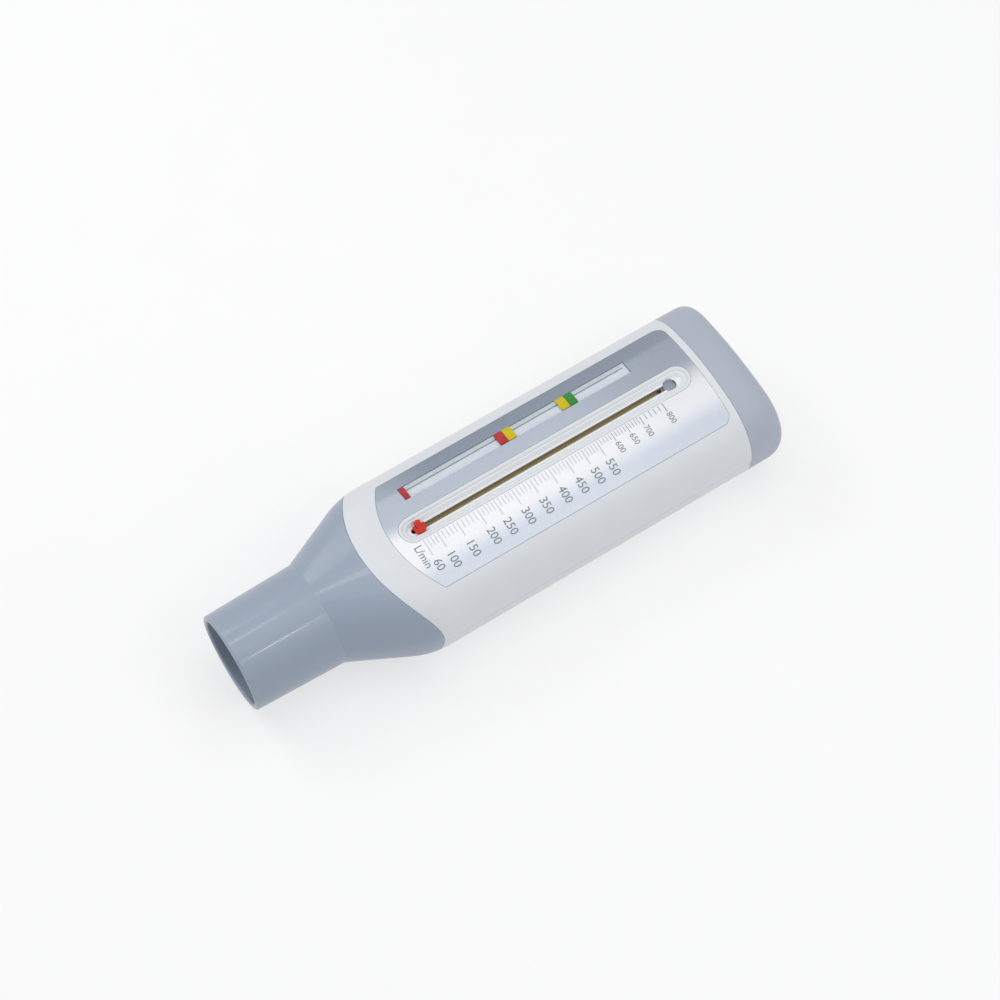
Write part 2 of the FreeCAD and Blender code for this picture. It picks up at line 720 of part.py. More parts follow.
def make_rear_cover():
    """Rear shell with a lip inside the front shell's edge, ribs that cradle the barrel and a flat for rest."""
    shell = common("rear_block", outer_form, behind_seam,
                   half_space("rear_slab", "-" + TALL, "Sizes.parting_height"))
    lip = common("lip_block", lip_form, behind_seam,
                 box("lip_slab", ("0", "-" + WIDE, "-Places.rear_depth"),
                     ("Sizes.cap_seam", WIDE, "Sizes.parting_height + Sizes.lip_height")))
    skin = cut("rear_skin", fuse("rear_solid", shell, lip), inner_form)
    ribs = []
    for i in range(int(size("saddle_count"))):
        start = f"Sizes.saddle_first + {i} * Sizes.saddle_pitch"
        slab = box(f"saddle_slab_{i}", (start, "-Sizes.body_half_width", "-Places.rear_depth"),
                   (f"{start} + Sizes.saddle_thickness", "Sizes.body_half_width", "Sizes.parting_height"))
        ribs.append(common(f"saddle_{i}", slab, rebate_form))
    cradle = rod("cradle_tool", "Places.seat_bore", "Sizes.seam_front", "Sizes.cap_seam")
    duct_room = rod("duct_room", "Places.duct_outside + Sizes.joint_gap", "Sizes.seam_front",
                    "Sizes.duct_back + Sizes.joint_gap")
    inside = fuse("rear_inside", cradle, duct_room)
    return cut("rear_cover", cut("rear_full", fuse("rear_ribbed", skin, *ribs), inside), under_foot)


def make_end_cap():
    """Domed cap with a spigot in the covers, a ledge for the rod holder and a row of vents in its end."""
    spigot_offset = wall + gap
    spigot_front = size("cap_spigot_front")
    inner_offset = spigot_offset + size("spigot_wall")
    solid = fuse("cap_solid", form("cap_dome", dome()),
                 oval_block("cap_spigot", spigot_offset, spigot_front, cap_seam + gap))
    mouth = oval_block("cap_mouth", inner_offset, spigot_front - PAST, size("rear_holder_back"))
    pocket = oval_block("cap_pocket", size("cap_wall") + gap, spigot_front,
                        size("cap_end") - size("cap_end_wall"))
    vents = []
    for i in range(int(size("vent_count"))):
        side = f"({i} - (Sizes.vent_count - 1) / 2) * Sizes.vent_pitch"
        low = ("Sizes.cap_seam", f"{side} - Sizes.vent_width / 2", "-Sizes.vent_height / 2")
        high = (f"Places.cap_end + {PAST}", f"{side} + Sizes.vent_width / 2", "Sizes.vent_height / 2")
        vents.append(box(f"vent_{i}", low, high))
    hollow = cut("cap_hollow", solid, fuse("cap_tools", mouth, pocket, *vents))
    front_gap = box("cap_seam_gap", ("0", "-" + WIDE, "-" + TALL),
                    ("Sizes.cap_seam + Sizes.joint_gap", WIDE, TALL))
    rim = cut("cap_rim_gap", front_gap, oval_block("spigot_keep", spigot_offset, 0, 2 * cap_seam))
    return cut("end_cap", cut("cap_trimmed", hollow, rim), under_foot)


def make_scale_plate():
    """Thin plate that follows the cover's curve, with openings for the trough's ring and the zone track."""
    plan = plate_outline("plate_plan", 0, 0, tall)
    skin = form("plate_under", hull(size("plate_thickness"), 2 * cap_seam))
    sheet = cut("plate_sheet", common("plate_curved", outer_form, plan), skin)
    ring = ring_block("plate_ring_hole", "Sizes.ring_half_width + Sizes.plate_gap", "0", TALL)
    track = track_block("plate_track_hole", size("track_front") - gap, size("track_back") + gap,
                        size("track_half_width") + gap, -wall, tall)
    return cut("scale_plate", sheet, fuse("plate_openings", ring, track))


def make_zone_track():
    """Pale insert: a flange on the cover's ledge, a web in its well, a raised strip and a slit for hooks."""
    body = new_body("zone_track")
    across = sketch_on(body, "YZ_Plane", "Sizes.track_front")
    side, web, shelf = "Places.track_half_width", "Places.track_web_half", "Places.track_shelf"
    ledge = "Places.track_top + Sizes.track_ledge"
    outline(across, ("-" + side, shelf), ("-" + web, shelf), ("-" + web, "-Sizes.track_depth"),
            (web, "-Sizes.track_depth"), (web, shelf), (side, shelf), (side, ledge),
            ("Sizes.slit_side", ledge), ("Sizes.slit_side", "Places.track_top"), ("-" + side, "Places.track_top"))
    feature(body, "Pad", across, Length="Sizes.track_back - Sizes.track_front")
    slit = sketch_on(body, "XY_Plane")
    rectangle(slit, ("Sizes.track_front + 2 * Sizes.track_step", "Places.slit_near"),
              ("Sizes.track_back - 2 * Sizes.track_step", "Places.slit_far"))
    through = feature(body, "Pocket", slit)
    through.Type = "ThroughAll"
    through.Midplane = True
    ends = ((f"Sizes.track_front - {PAST}", "Sizes.track_front + Sizes.track_step"),
            ("Sizes.track_back - Sizes.track_step", f"Sizes.track_back + {PAST}"))
    for start, stop in ends:
        corner = sketch_on(body, "XY_Plane", shelf)
        rectangle(corner, (start, "-Sizes.track_width"), (stop, "Sizes.track_width"))
        feature(body, "Pocket", corner, Length="Sizes.track_depth")
    return body


def make_marker(name, place, length, hooked):
    """Zone marker: a saddle over the track with a ridge above the slit, and a hook under it if it slides."""
    body = new_body(name)
    across = sketch_on(body, "YZ_Plane", place)
    bottom = "Places.marker_bottom"
    outline(across, ("-Places.marker_half_width", bottom), ("Places.marker_half_width", bottom),
            ("Places.marker_half_width", "Sizes.marker_edge"), ("Sizes.ridge_side", "Sizes.marker_ridge"),
            ("Sizes.ridge_side - Sizes.ridge_slope", "Sizes.marker_foot"),
            ("-Places.marker_half_width", "Sizes.marker_edge"))
    feature(body, "Pad", across, Length=length)
    if hooked:
        middle = f"{place} + Sizes.marker_length / 2 - Sizes.stem_length / 2"
        hook = sketch_on(body, "YZ_Plane", middle)
        near, far = "Places.slit_near + Sizes.stem_gap", "Places.slit_far - Sizes.stem_gap"
        left, right = (f"Sizes.slit_side {sign} Sizes.hook_half_width" for sign in "-+")
        top, drop = "Places.hook_top", "Places.hook_bottom"
        outline(hook, (near, bottom), (near, top), (left, top), (left, drop), (right, drop), (right, top),
                (far, top), (far, bottom))
        feature(body, "Pad", hook, Length="Sizes.stem_length")
    return body


def make_pointer():
    """Pointer: a head with a round end towards the scale, a fin to push it with, and a stem with a waist."""
    body = new_body("pointer_body")
    middle, half = "Sizes.pointer_place", "Sizes.pointer_half_length"
    near, bottom, top = "-Sizes.pointer_near", "Places.head_bottom", "Places.head_top"
    head = sketch_on(body, "YZ_Plane", f"{middle} - {half}")
    outline(head, ("Sizes.pointer_far", bottom), ("Sizes.pointer_far", top),
            (f"{near} + Sizes.pointer_bevel", top), (near, f"{top} - Sizes.pointer_bevel"),
            (f"{near} + Sizes.pointer_undercut", bottom))
    feature(body, "Pad", head, Length=f"2 * {half}")
    fin = sketch_on(body, "YZ_Plane", f"{middle} - Sizes.fin_half_width")
    outline(fin, ("-Sizes.fin_near", bottom), ("Sizes.pointer_far", bottom), ("Sizes.fin_tip", top),
            ("Sizes.fin_tip", "Places.fin_top"), ("Sizes.fin_ridge", "Places.fin_top"),
            ("-Sizes.fin_near", top))
    feature(body, "Pad", fin, Length="2 * Sizes.fin_half_width")
    stem = sketch_on(body, "XZ_Plane", "-Sizes.stem_far")
    long, waist = "Sizes.stem_half_length", "Sizes.waist_half_length"
    outline(stem, (f"{middle} - {long}", "Places.head_bottom"), (f"{middle} - {long}", "Places.clip_top"),
            (f"{middle} - {waist}", "Places.clip_top"), (f"{middle} - {waist}", "Places.clip_bottom"),
            (f"{middle} - {long}", "Places.clip_bottom"), (f"{middle} - {long}", "Places.stem_bottom"),
            (f"{middle} + {long}", "Places.stem_bottom"), (f"{middle} + {long}", "Places.clip_bottom"),
            (f"{middle} + {waist}", "Places.clip_bottom"), (f"{middle} + {waist}", "Places.clip_top"),
            (f"{middle} + {long}", "Places.clip_top"), (f"{middle} + {long}", "Places.head_bottom"))
    feature(body, "Pad", stem, Length="Sizes.stem_near + Sizes.stem_far")
    round_end = post("pointer_round_end", half, middle, "0", TALL)
    bind(round_end, Placement__Base__y="Places.head_round_side")
    plan = new_body("pointer_plan")
    seen_from_above = sketch_on(plan, "XY_Plane")
    left, right = f"{middle} - {half}", f"{middle} + {half}"
    round_side, far, tip = "Places.head_round_side", "Sizes.pointer_far", "Sizes.fin_half_width"
    outline(seen_from_above, (left, round_side), (right, round_side), (right, far), (f"{middle} + {tip}", far),
            (middle, "Sizes.fin_tip"), (f"{middle} - {tip}", far), (left, far))
    feature(plan, "Pad", seen_from_above, Length=TALL)
    return common("pointer", body, fuse("pointer_outline", plan, round_end))


def make_pointer_clip():
    """U-shaped clip pushed onto the stem's waist from the side away from the rail."""
    body = new_body("pointer_clip")
    sketch = sketch_on(body, "XY_Plane", "Places.clip_bottom")
    middle, notch = "Sizes.pointer_place", "Sizes.waist_half_length"
    wide = "(Sizes.waist_half_length + Sizes.clip_prong)"
    back, near, far = "-Sizes.stem_near - Sizes.clip_reach", "-Sizes.stem_near", "Sizes.stem_far"
    outline(sketch, (f"{middle} - {wide}", back), (f"{middle} + {wide}", back), (f"{middle} + {wide}", far),
            (f"{middle} + {notch}", far), (f"{middle} + {notch}", near), (f"{middle} - {notch}", near),
            (f"{middle} - {notch}", far), (f"{middle} - {wide}", far))
    feature(body, "Pad", sketch, Length="Sizes.clip_thickness")
    return body


def make_pointer_rail():
    """Angled strip under the trough's floor: a web beside the slot and a ledge close along the stem."""
    body = new_body("pointer_rail")
    across = sketch_on(body, "YZ_Plane", "Places.rail_front")
    near, inner, far = "Places.rail_near", "Places.rail_inner", "Places.rail_far"
    bottom, ledge, top = "Places.rail_bottom", "Places.rail_ledge_top", "Places.floor_bottom"
    outline(across, (near, bottom), (far, bottom), (far, top), (inner, top), (inner, ledge), (near, ledge))
    feature(body, "Pad", across, Length="Places.rail_back - Places.rail_front")
    return body


def make_keyhole_plug():
    """Plug that closes the hole through which the pointer is put in, with a flange under the floor."""
    place, bottom = "Sizes.keyhole_place", "Places.plug_bottom"
    cap = post("plug_cap", "Places.plug_radius", place, bottom, "Places.plug_top")
    flange = post("plug_flange_disc", "Places.plug_flange_radius", place, bottom, "Places.floor_bottom")
    return fuse("keyhole_plug", cap, flange)


def make_barrel():
    """Thin tube with a slot along its top that lets the stem and the air through."""
    body = new_body("barrel")
    front, back = "Sizes.barrel_front", "Sizes.barrel_back"
    inside, outside = "Sizes.barrel_bore", "Places.barrel_outside"
    revolve(body, (front, inside), (front, outside), (back, outside), (back, inside))
    slot = sketch_on(body, "XY_Plane")
    rectangle(slot, ("Sizes.slot_front", "-Places.slot_half_width"),
              ("Sizes.keyhole_place", "Places.slot_half_width"))
    opening = feature(body, "Pocket", slot)
    opening.Type = "ThroughAll"
    opening.Reversed = True
    return body


def make_piston():
    """Light cup-shaped piston: rim, web and hub."""
    body = new_body("piston")
    revolve(body, ("Places.rim_back", "Places.bush_radius"), ("Places.rim_back", "Places.piston_radius"),
            ("Places.piston_front", "Places.piston_radius"), ("Places.piston_front", "Places.rim_inside"),
            ("Places.web_front", "Places.rim_inside"), ("Places.web_front", "Sizes.hub_radius"),
            ("Places.hub_front", "Sizes.hub_radius"), ("Places.hub_front", "Places.bush_radius"))
    return body


def make_tube(name, inner, outer, start, end):
    """Plain ring or bush about the barrel's axis."""
    body = new_body(name)
    revolve(body, (start, inner), (start, outer), (end, outer), (end, inner))
    return body


def make_guide_rod():
    """Rod on the barrel's axis, with small chamfers at both ends."""
    body = new_body("guide_rod")
    front, back = "Places.rod_front", "Places.rod_back"
    radius, chamfer = "Sizes.rod_radius", "Sizes.rod_chamfer"
    revolve(body, (front, "0"), (front, f"{radius} - {chamfer}"), (f"{front} + {chamfer}", radius),
            (f"{back} - {chamfer}", radius), (back, f"{radius} - {chamfer}"), (back, "0"))
    return body


def make_front_rod_holder():
    """Spider in the barrel's front end: a ring, spokes and a long hub that the piston rests against."""
    body = new_body("front_rod_holder")
    front, back = "Sizes.barrel_front", "Places.front_hub_back"
    face = "Sizes.barrel_front + Sizes.holder_thickness"
    hole, hub, outside = "Places.rod_hole", "Sizes.holder_hub_radius", "Sizes.barrel_bore - Sizes.seat_gap"
    revolve(body, (front, hole), (front, outside), (face, outside), (face, hub), (back, hub), (back, hole))
    window = sketch_on(body, "YZ_Plane", "Sizes.barrel_front")
    inner, outer = "Sizes.holder_window_inner", "Sizes.holder_window_outer"
    inner_half, outer_half = "Sizes.holder_window_inner_half", "Sizes.holder_window_outer_half"
    outline(window, (inner, "-" + inner_half), (inner, inner_half), (outer, outer_half),
            (outer, "-" + outer_half))
    opening = feature(body, "Pocket", window, Length=f"Sizes.holder_thickness + {PAST}")
    opening.Reversed = True
    pattern(body, opening, (window, ["N_Axis"]), "Sizes.holder_window_count")
    return body


def make_rear_rod_holder():
    """Vented plate between the barrel's back end and the cap's ledge, with a hub for the rod."""
    offset = wall + 2 * gap + size("spigot_wall")
    plate = oval_block("rear_holder_plate", offset, size("barrel_back"), size("rear_holder_back"))
    hub = rod("rear_holder_hub", "Sizes.holder_hub_radius", "Places.rear_hub_front",
              "Places.rear_holder_back")
    holes = [rod("rear_rod_hole", "Places.rod_hole", "0", LONG)]
    for i in range(int(size("vent_hole_count"))):
        hole = rod(f"rear_vent_{i}", "Sizes.vent_hole_radius", f"Sizes.barrel_back - {PAST}",
                   f"Places.rear_holder_back + {PAST}")
        turn = f"{i} * 360 / Sizes.vent_hole_count"
        holes.append(bind(hole, Placement__Base__y=f"Sizes.vent_ring_radius * cos({turn})",
                          Placement__Base__z=f"Sizes.vent_ring_radius * sin({turn})"))
    return cut("rear_rod_holder", fuse("rear_holder_solid", plate, hub), fuse("rear_holes", *holes))


def make_sealing_ring():
    """O-ring between the duct and the barrel."""
    ring = doc.addObject("Part::Torus", "sealing_ring")
    ring.Placement = Placement(Vector(), Rotation(Vector(0, 1, 0), 90))
    return bind(ring, Radius1="Places.barrel_outside + Sizes.seal_section / 2", Radius2="Places.seal_wire")


def make_return_spring():
    """Coil spring from the piston's web to the bumper."""
    body = new_body("return_spring")
    wire = sketch_on(body, "XZ_Plane")
    disc(wire, "Sizes.wire_radius", ("Places.web_front + 2 * Sizes.wire_radius", "Sizes.spring_radius"))
    coil = feature(body, "AdditiveHelix", wire)
    coil.ReferenceAxis = (wire, ["H_Axis"])
    coil.Mode = "height-turns-angle"
    bind(coil, Height="Places.bumper_front - Places.web_front - 4 * Sizes.wire_radius",
         Turns="Sizes.spring_turns")
    return body


mouthpiece = make_mouthpiece()
front_cover = make_front_cover()
rear_cover = make_rear_cover()
end_cap = make_end_cap()
scale_plate = make_scale_plate()
zone_track = make_zone_track()
zone_end_stop = make_marker("zone_end_stop", "Sizes.track_front", "Sizes.stop_length", False)
red_yellow_marker = make_marker("red_yellow_marker", "Sizes.low_marker_place", "Sizes.marker_length", True)
yellow_green_marker = make_marker("yellow_green_marker", "Sizes.high_marker_place", "Sizes.marker_length",
                                  True)
on_axis = [
    make_pointer(), make_pointer_clip(), make_pointer_rail(), make_keyhole_plug(), make_barrel(),
    make_piston(),
    make_tube("piston_bush", "Places.rod_hole", "Places.bush_radius", "Places.rim_back", "Places.hub_front"),
    make_guide_rod(), make_return_spring(), make_front_rod_holder(), make_rear_rod_holder(),
    make_tube("front_rod_clip", "Sizes.rod_radius", "Sizes.washer_radius", "Places.front_washer_front",
              "Sizes.barrel_front"),
    make_tube("rear_rod_clip", "Sizes.rod_radius", "Sizes.washer_radius", "Places.rear_holder_back",
              "Places.rear_holder_back + Sizes.washer_thickness"),
    make_tube("bumper", "Places.rod_hole", "Sizes.bumper_radius", "Places.bumper_front",
              "Places.rear_hub_front"),
]
sealing_ring = make_sealing_ring()
doc.recompute()

tilted = [zone_track, zone_end_stop, red_yellow_marker, yellow_green_marker]
level = [mouthpiece, front_cover, rear_cover, end_cap, scale_plate, *on_axis]
for piece in level:
    bind(piece, Placement__Base__x="-Places.half_length", Placement__Base__z="Places.axis_height")
lean = "asin(Sizes.track_side / Sizes.crown_radius)"
for piece in tilted:
    piece.Placement = Placement(Vector(), track_place().Rotation)
    bind(piece, Placement__Base__x="-Places.half_length", Placement__Base__y="Sizes.track_side",
         Placement__Base__z=f"Places.axis_height + Places.crown_middle + Sizes.crown_radius * cos({lean})")
bind(sealing_ring, Placement__Base__x="Places.seal_middle - Places.half_length",
     Placement__Base__z="Places.axis_height")
doc.recompute()

pieces = [*level, *tilted, sealing_ring]
failed = [thing.Name for thing in doc.Objects if {"Invalid", "Error"} & set(thing.State)]
if failed:
    raise RuntimeError("failed: " + ", ".join(failed))
os.makedirs("parts", exist_ok=True)
for piece in pieces:
    piece.Label = piece.Name
    shape = piece.Shape
    if shape.isNull() or not shape.isValid():
        raise RuntimeError("bad shape: " + piece.Label)
    shape.exportStep(f"parts/{piece.Label}.step")
    bounds = shape.BoundBox
    print(f"{piece.Label}: {len(shape.Solids)} solid, volume {shape.Volume:.1f}, X {bounds.XMin:.2f}"
          f" {bounds.XMax:.2f}, Y {bounds.YMin:.2f} {bounds.YMax:.2f}, Z {bounds.ZMin:.2f} {bounds.ZMax:.2f}")
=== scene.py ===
# %% [markdown]
# A peak flow meter measures how fast somebody can breathe out. The solids come from a CAD model, which gives
# every piece its place and size. This lesson dresses them for a studio picture: finishes first, then the
# printed scale, then camera and light. Everything is in metres, with +X from the mouthpiece to the end cap and
# +Z out of the scale.

# %% Load the model and keep its box
import json
import math
import bmesh
import bpy
from mathutils import Matrix, Vector


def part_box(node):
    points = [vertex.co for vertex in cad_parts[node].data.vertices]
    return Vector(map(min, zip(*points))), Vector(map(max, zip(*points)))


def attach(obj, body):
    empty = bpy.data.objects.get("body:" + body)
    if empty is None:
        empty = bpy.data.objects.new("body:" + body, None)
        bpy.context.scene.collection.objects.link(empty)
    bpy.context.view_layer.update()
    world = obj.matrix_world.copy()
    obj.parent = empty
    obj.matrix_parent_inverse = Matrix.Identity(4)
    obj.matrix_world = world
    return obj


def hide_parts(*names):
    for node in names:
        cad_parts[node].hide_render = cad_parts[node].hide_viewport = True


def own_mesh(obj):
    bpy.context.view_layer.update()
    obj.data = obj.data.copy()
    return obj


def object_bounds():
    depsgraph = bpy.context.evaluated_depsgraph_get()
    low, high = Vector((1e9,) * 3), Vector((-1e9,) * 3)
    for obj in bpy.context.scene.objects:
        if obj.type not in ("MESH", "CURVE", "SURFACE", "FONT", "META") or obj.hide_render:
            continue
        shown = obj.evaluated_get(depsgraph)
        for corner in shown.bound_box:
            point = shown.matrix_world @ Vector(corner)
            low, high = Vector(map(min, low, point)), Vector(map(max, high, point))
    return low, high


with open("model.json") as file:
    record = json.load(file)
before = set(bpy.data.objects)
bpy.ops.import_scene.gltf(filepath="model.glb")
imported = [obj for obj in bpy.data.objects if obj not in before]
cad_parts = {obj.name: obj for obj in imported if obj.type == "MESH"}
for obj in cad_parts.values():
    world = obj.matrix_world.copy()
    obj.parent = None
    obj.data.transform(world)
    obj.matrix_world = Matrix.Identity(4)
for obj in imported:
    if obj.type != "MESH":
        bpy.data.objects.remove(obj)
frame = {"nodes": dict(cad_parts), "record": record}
model_box = [list(corner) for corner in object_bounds()]
print("nodes:", len(frame["nodes"]), "box:", [[round(v, 4) for v in corner] for corner in model_box])

# %% [markdown]
# A finish is a small network of nodes. Written node by node it is hard to read, so two helpers turn it into
# ordinary expressions. A Wire is one output of a node, and sums or products of wires add the Math nodes by
# themselves. A Recipe is one network, and all its other nodes come from a single method.

# %% Wires and recipes
class Wire:
    """An output of a node. Sums, differences and products of wires add Math nodes."""

    def __init__(self, recipe, socket):
        self.recipe = recipe
        self.socket = socket

    def maths(self, operation, *values):
        return self.recipe.node("Math", {"operation": operation}, dict(enumerate(values)))

    def __add__(self, other):
        return self.maths("ADD", self, other)

    def __sub__(self, other):
        return self.maths("SUBTRACT", self, other)

    def __rsub__(self, other):
        return self.maths("SUBTRACT", other, self)

    def __mul__(self, other):
        return self.maths("MULTIPLY", self, other)

    __radd__ = __add__
    __rmul__ = __mul__


class Recipe:
    """One network of nodes, with methods for what this scene's finishes share."""

    def __init__(self, owner):
        owner.use_nodes = True
        self.owner = owner
        self.tree = owner.node_tree
        self.tree.nodes.clear()

    def node(self, kind, settings=None, sockets=None, out=0):
        made = self.tree.nodes.new("ShaderNode" + kind)
        for name, value in (settings or {}).items():
            setattr(made, name, value)
        for name, value in (sockets or {}).items():
            if isinstance(value, Wire):
                self.tree.links.new(value.socket, made.inputs[name])
            else:
                made.inputs[name].default_value = value
        return Wire(self, made.outputs[out]) if made.outputs else None

    def place(self):
        """Where a point of the surface lies, in the model's own metres."""
        return self.node("TexCoord", out="Object")

    def along(self, axis):
        return self.node("SeparateXYZ", sockets={0: self.place()}, out=axis)

    def clouds(self, size, detail=2.0, stretch=(1, 1, 1)):
        """Soft noise from 0 to 1 whose features are about as large as the size, in metres."""
        scaled = self.node("VectorMath", {"operation": "MULTIPLY"}, {0: self.place(), 1: stretch},
                           out="Vector")
        return self.node("TexNoise", sockets={"Vector": scaled, "Scale": 1 / size, "Detail": detail})

    def ramp(self, value, low, high, start=0.0, end=1.0):
        """Turn a value between low and high smoothly into one between start and end, and hold it outside."""
        return self.node("MapRange", {"interpolation_type": "SMOOTHSTEP"},
                         {"Value": value, "From Min": low, "From Max": high, "To Min": start, "To Max": end})

    def mix(self, share, first, second):
        """Blend two colours."""
        return self.node("Mix", {"data_type": "RGBA"}, {0: share, 6: first, 7: second}, out=2)

    def bump(self, height, depth, strength):
        return self.node("Bump", sockets={"Height": height, "Distance": depth, "Strength": strength},
                         out="Normal")

    def surface(self, **sockets):
        """Close the network with the main shader; an underscore in a name stands for a space."""
        named = {name.replace("_", " "): value for name, value in sockets.items()}
        shader = self.node("BsdfPrincipled", sockets=named)
        self.node("OutputMaterial", sockets={"Surface": shader})
        return self.owner


MM = 0.001
WHITE = (1, 1, 1, 1)


def light_value(v):
    """One channel of a picture, 0 to 255, as the amount of light that it stands for."""
    return v / 255 / 12.92 if v <= 10 else ((v / 255 + 0.055) / 1.055) ** 2.4


def tint(red, green, blue):
    """Colour as a picture shows it, turned into the light values that shaders use."""
    return tuple(light_value(v) for v in (red, green, blue)) + (1,)


def shade(colour, factor):
    """The same colour, lighter or darker."""
    return tuple(min(1.0, v * factor) for v in colour[:3]) + (1,)


print("middle grey as light:", [round(v, 3) for v in tint(128, 128, 128)])

# %% [markdown]
# Most of the meter is injection-moulded plastic. Such plastic is never one flat colour: the mould leaves a fine
# sparked grain, the pigment is a little cloudy, and the gloss changes slowly from place to place. One function
# holds that look, and each moulding asks for its own colour and gloss. The mouthpiece is polished, which a thin
# coat gives.
#
# The two white covers show three more things. A fine dark line runs round where they part. The trough in front
# is painted lighter than the rest, a painted light for the light that its smooth faces throw at each other. The
# sides of the slot are painted brown, a painted shade for the little light in there, which the olive rail
# colours.
# All three are masks made of ramps along the axes, each one where a shape of the CAD model is. A mask needs an
# end
# on every side: without the ramp at MASK_BOTTOM, the slot would also draw its painted brown shade on the back
# of the meter.

# %% Moulded plastic
GRAIN = 0.16 * MM
CLOUDY = 0.03
UNEVEN = 0.06
PARTING_HEIGHT, LINE_CORE, LINE_EDGE = 15.7 * MM, 0.05 * MM, 0.2 * MM
SLOT_HALF_WIDTH = 0.95 * MM
SLOT_TOP = 33.0 * MM
MASK_BOTTOM = SLOT_TOP - 5 * MM
TROUGH_HALF_WIDTH = 4.1 * MM
TROUGH_DEPTH = 1.1 * MM
TROUGH_START = -29.9 * MM
SOFT_STEP = 0.1 * MM


def parting_line(recipe):
    """Mask of a line a few tenths of a millimetre wide, where the two covers meet."""
    height = recipe.along("Z")
    return recipe.ramp(height, PARTING_HEIGHT - LINE_EDGE, PARTING_HEIGHT - LINE_CORE) \
        * recipe.ramp(height, PARTING_HEIGHT + LINE_CORE, PARTING_HEIGHT + LINE_EDGE, 1.0, 0.0)


def slot_and_trough(recipe):
    """Masks of painted shade in the slot and of painted light on the other faces of the hollow in front; both
    leave out the back and low end.
    """
    height = recipe.along("Z")
    aside = recipe.node("Math", {"operation": "ABSOLUTE"}, {0: recipe.along("Y")})
    front = recipe.ramp(height, MASK_BOTTOM, MASK_BOTTOM + SOFT_STEP)
    # Painted shade: the sides of the slot, below its top.
    slot_shade = front * recipe.ramp(aside, SLOT_HALF_WIDTH, SLOT_HALF_WIDTH + SOFT_STEP, 1.0, 0.0) \
        * recipe.ramp(height, SLOT_TOP - SOFT_STEP, SLOT_TOP, 1.0, 0.0)
    rim = SLOT_TOP + TROUGH_DEPTH
    # Painted light: the trough's faces beside the slot.
    trough_light = front * recipe.ramp(aside, TROUGH_HALF_WIDTH, TROUGH_HALF_WIDTH + SOFT_STEP, 1.0, 0.0) \
        * recipe.ramp(height, rim, rim + 2 * SOFT_STEP, 1.0, 0.0) \
        * recipe.ramp(recipe.along("X"), TROUGH_START, TROUGH_START + 4 * SOFT_STEP)
    return slot_shade, trough_light * (1 - slot_shade)


def moulded(name, colour, roughness, depth=0.004 * MM, coat=0.0, polish=0.18, cover=False):
    """Satin plastic with fine grain and cloudy pigment. A cover also has its parting line, painted shade in its
    slot and painted light in the hollow in front.
    """
    recipe = Recipe(bpy.data.materials.new(name))
    pigment = recipe.clouds(9 * MM, 3.0)
    flow = recipe.clouds(22 * MM, 2.0, stretch=(0.4, 1, 1))
    fine = recipe.clouds(GRAIN, 1.0)
    base = recipe.mix(pigment, shade(colour, 1 - CLOUDY), shade(colour, 1 + CLOUDY))
    if cover:
        base = recipe.mix(0.5 * parting_line(recipe), base, shade(colour, 0.35))
        slot_shade, trough_light = slot_and_trough(recipe)
        # Painted shade: the slot's sides turn brown.
        base = recipe.mix(slot_shade, base, tint(170, 148, 130))
        # Painted light: the trough turns lighter than the rest of the cover.
        base = recipe.mix(trough_light, base, tint(226, 230, 233))
    gloss = roughness - UNEVEN / 2 + UNEVEN * flow + 0.04 * fine
    return recipe.surface(Base_Color=base, Roughness=gloss, Coat_Weight=coat, Coat_Roughness=polish,
                          Normal=recipe.bump(fine, depth, 0.5))


finishes = {
    "mouthpiece_grey": moulded("mouthpiece_grey", tint(146, 158, 175), 0.4, coat=0.3, polish=0.07),
    "body_white": moulded("body_white", tint(218, 222, 226), 0.42, cover=True),
    "cap_grey": moulded("cap_grey", tint(171, 178, 191), 0.44),
    "plug_grey": moulded("plug_grey", tint(144, 154, 164), 0.5),
    "rail_olive": moulded("rail_olive", tint(206, 196, 140), 0.5),
    "barrel_white": moulded("barrel_white", tint(214, 216, 216), 0.35),
    "piston_white": moulded("piston_white", tint(222, 220, 214), 0.4),
    "soft_black": moulded("soft_black", tint(44, 44, 46), 0.7, depth=0.01 * MM),
}
print("mouldings:", ", ".join(finishes))

# %% [markdown]
# The pointer and the zone markers are small and bright. They are moulded too, in a plastic whose colour is a
# little deeper in some places than in others. Each marker is one piece in two colours, which a mask along its
# length gives: the split is at the middle of its box.

# %% Bright plastics
BLUR = 0.05 * MM


def bright(name, colour, second=None, split=0.0):
    """Glossy coloured plastic. A second colour starts where X passes the split."""
    recipe = Recipe(bpy.data.materials.new(name))
    deep = recipe.clouds(1.6 * MM, 2.0)
    base = recipe.mix(deep, shade(colour, 0.9), shade(colour, 1.1))
    if second:
        other = recipe.mix(deep, shade(second, 0.92), shade(second, 1.06))
        base = recipe.mix(recipe.ramp(recipe.along("X"), split - BLUR, split + BLUR), base, other)
    return recipe.surface(Base_Color=base, Roughness=0.3 + 0.1 * deep, Coat_Weight=0.1, Coat_Roughness=0.15,
                          Specular_IOR_Level=0.25,
                          Normal=recipe.bump(recipe.clouds(0.2 * MM, 1.0), 0.004 * MM, 0.5))


def middle(node):
    """Middle of a node's box along X."""
    low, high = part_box(node)
    return (low[0] + high[0]) / 2


RED, YELLOW, GREEN = tint(176, 44, 50), tint(204, 184, 8), tint(42, 132, 46)
finishes["pointer_red"] = bright("pointer_red", tint(198, 34, 20))
finishes["stop_red"] = bright("stop_red", RED)
finishes["low_marker"] = bright("low_marker", RED, second=YELLOW, split=middle("red_yellow_marker"))
finishes["high_marker"] = bright("high_marker", YELLOW, second=GREEN, split=middle("yellow_green_marker"))
print("low marker changes colour at X =", round(middle("red_yellow_marker") / MM, 2), "mm")
